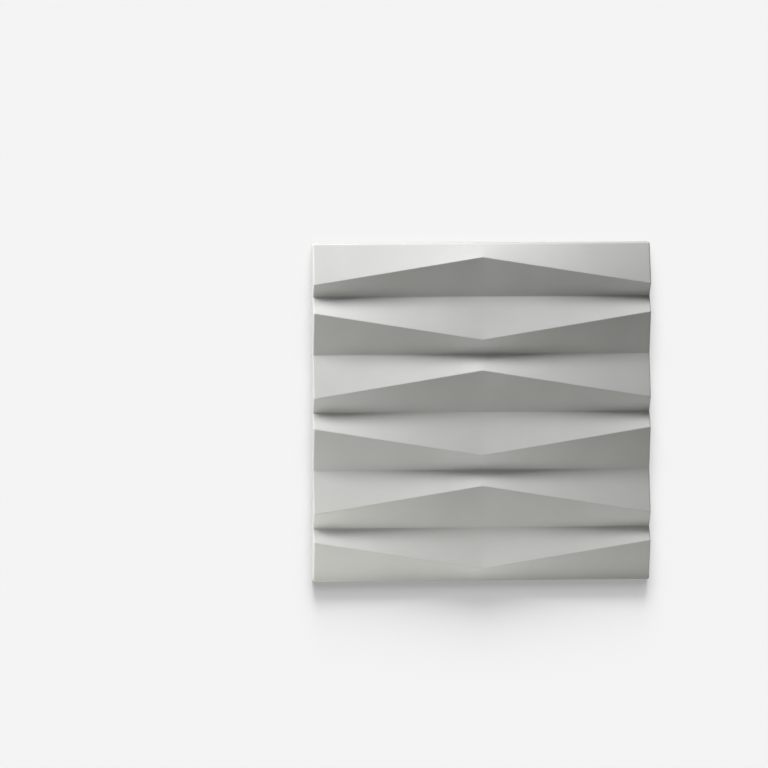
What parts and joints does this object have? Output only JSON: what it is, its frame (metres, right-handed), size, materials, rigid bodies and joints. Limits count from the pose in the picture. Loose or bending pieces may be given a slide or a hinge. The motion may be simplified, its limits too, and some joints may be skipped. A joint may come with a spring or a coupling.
{
  "type": "3d wall panel tile",
  "caption": "Square cast plaster wall tile with rows of twisted facets that meet in zigzag ridges and straight valleys, for a relief wall covering.",
  "frame": {"origin": "centre of the flat back face", "axes": "+Z out of the relief front, +Y towards the upper edge as hung, +X to the right along the rows, seen from the front"},
  "size_m": [0.5, 0.5, 0.035],
  "materials": {
    "plaster": "matte"
  },
  "bodies": {
    "root": {"wall_panel_tile": "plaster"}
  },
  "joints": []
}
